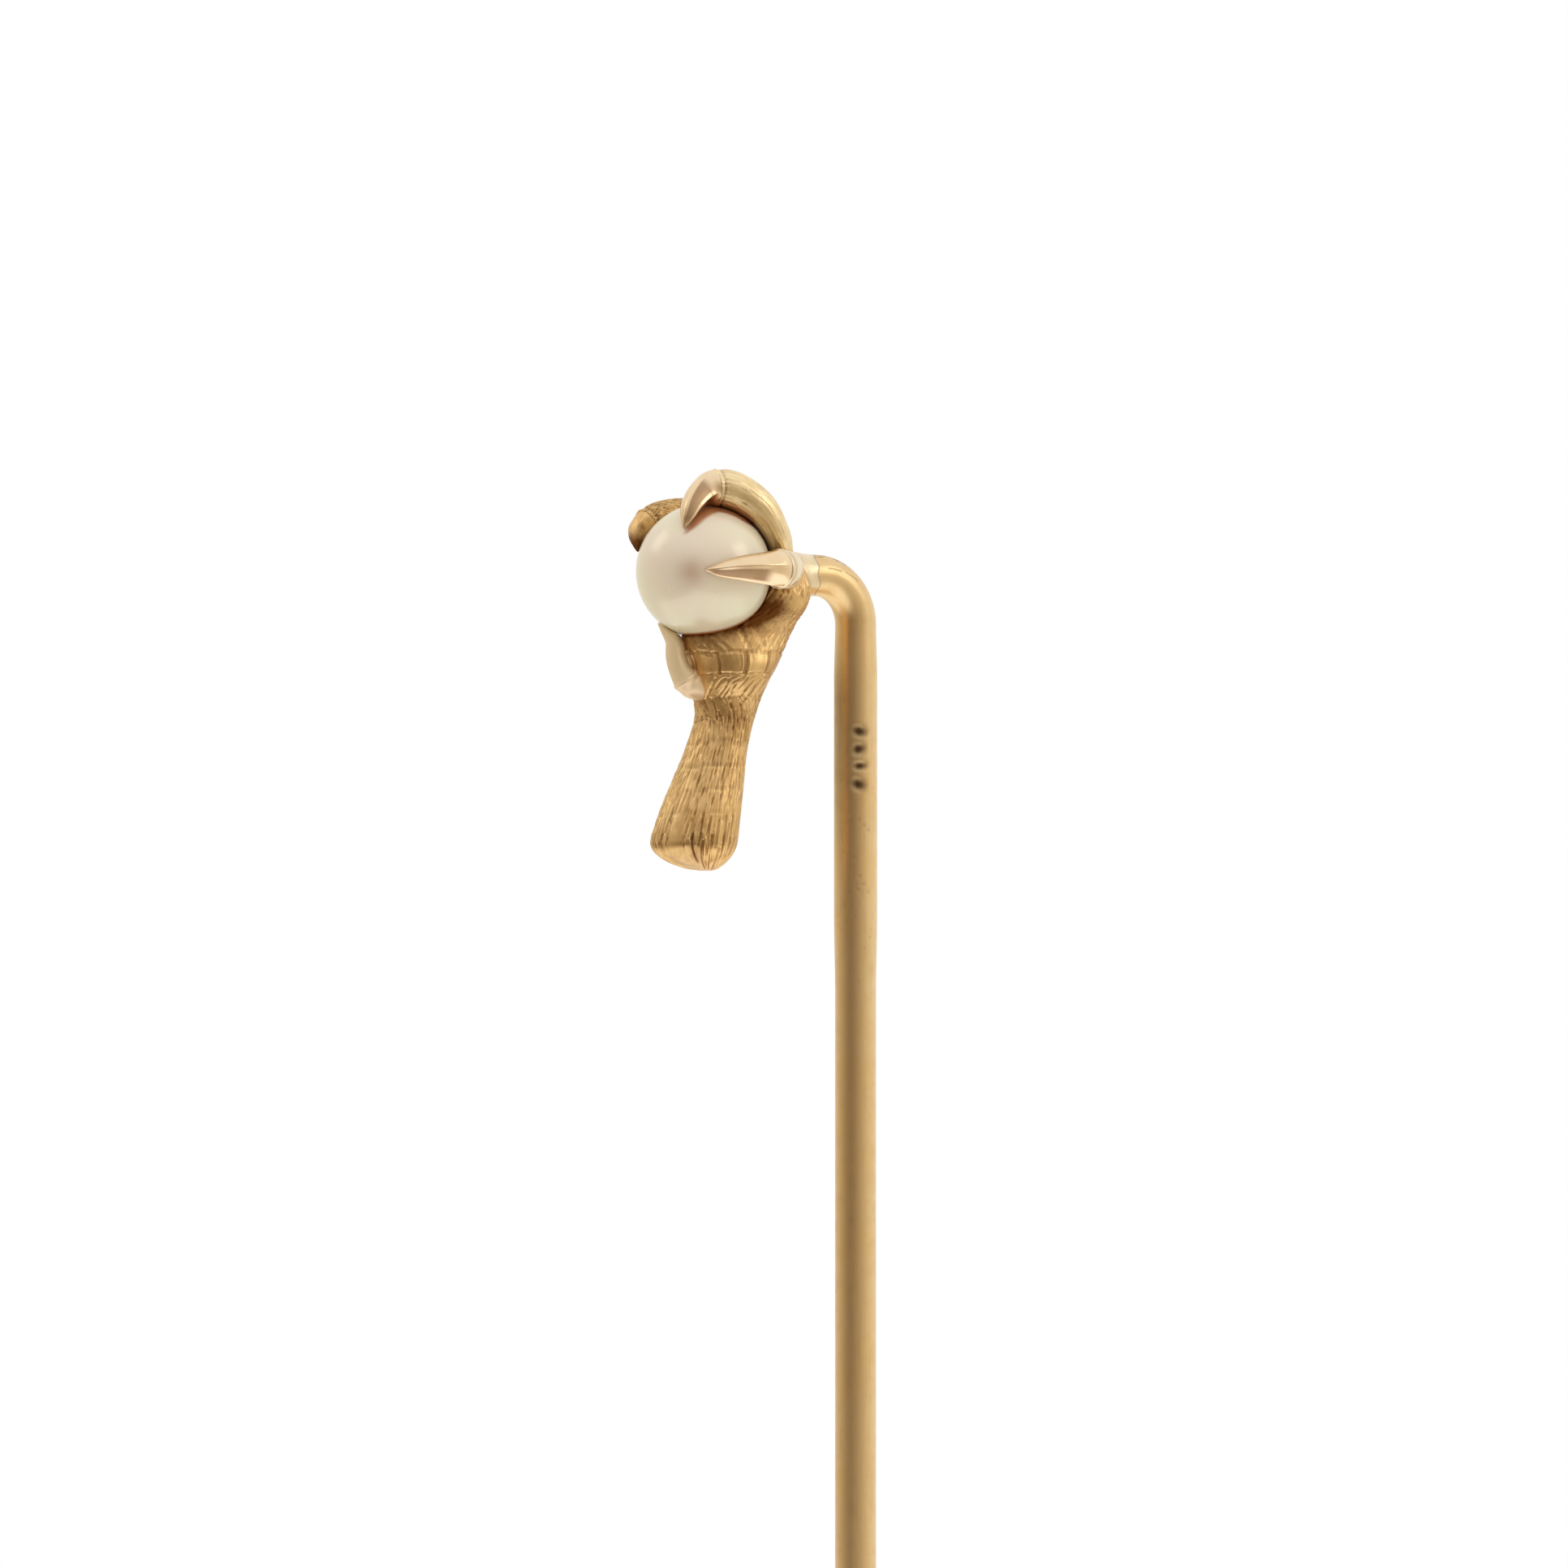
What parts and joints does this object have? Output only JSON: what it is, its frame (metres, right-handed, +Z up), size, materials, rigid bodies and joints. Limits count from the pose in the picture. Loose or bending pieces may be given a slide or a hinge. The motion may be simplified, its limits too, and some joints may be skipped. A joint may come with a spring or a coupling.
{
  "type": "stick pin",
  "caption": "Gold stick pin with a bird's claw that grips a round pearl, on a bent wire stem ground to a point.",
  "frame": {"origin": "on the stem's axis, at the top of its straight run, where the bend begins", "axes": "+Z up along the stem, away from its point; the claw and pearl face -Y; +X is to the right seen from the front"},
  "size_m": [0.0045, 0.007, 0.062],
  "materials": {
    "wire_gold": "polished yellow gold wire",
    "claw_gold": "engraved and polished yellow gold",
    "solder": "pale hard solder",
    "nacre": "lustrous cream nacre",
    "cement": "set resin cement"
  },
  "bodies": {
    "root": {"pin_stem": "wire_gold", "stem_solder": "solder", "claw_leg": "claw_gold", "upper_talon": "claw_gold", "left_talon": "claw_gold", "right_talon": "claw_gold", "hind_talon": "claw_gold", "pearl": "nacre", "pearl_peg": "wire_gold", "pearl_cement": "cement"}
  },
  "joints": []
}
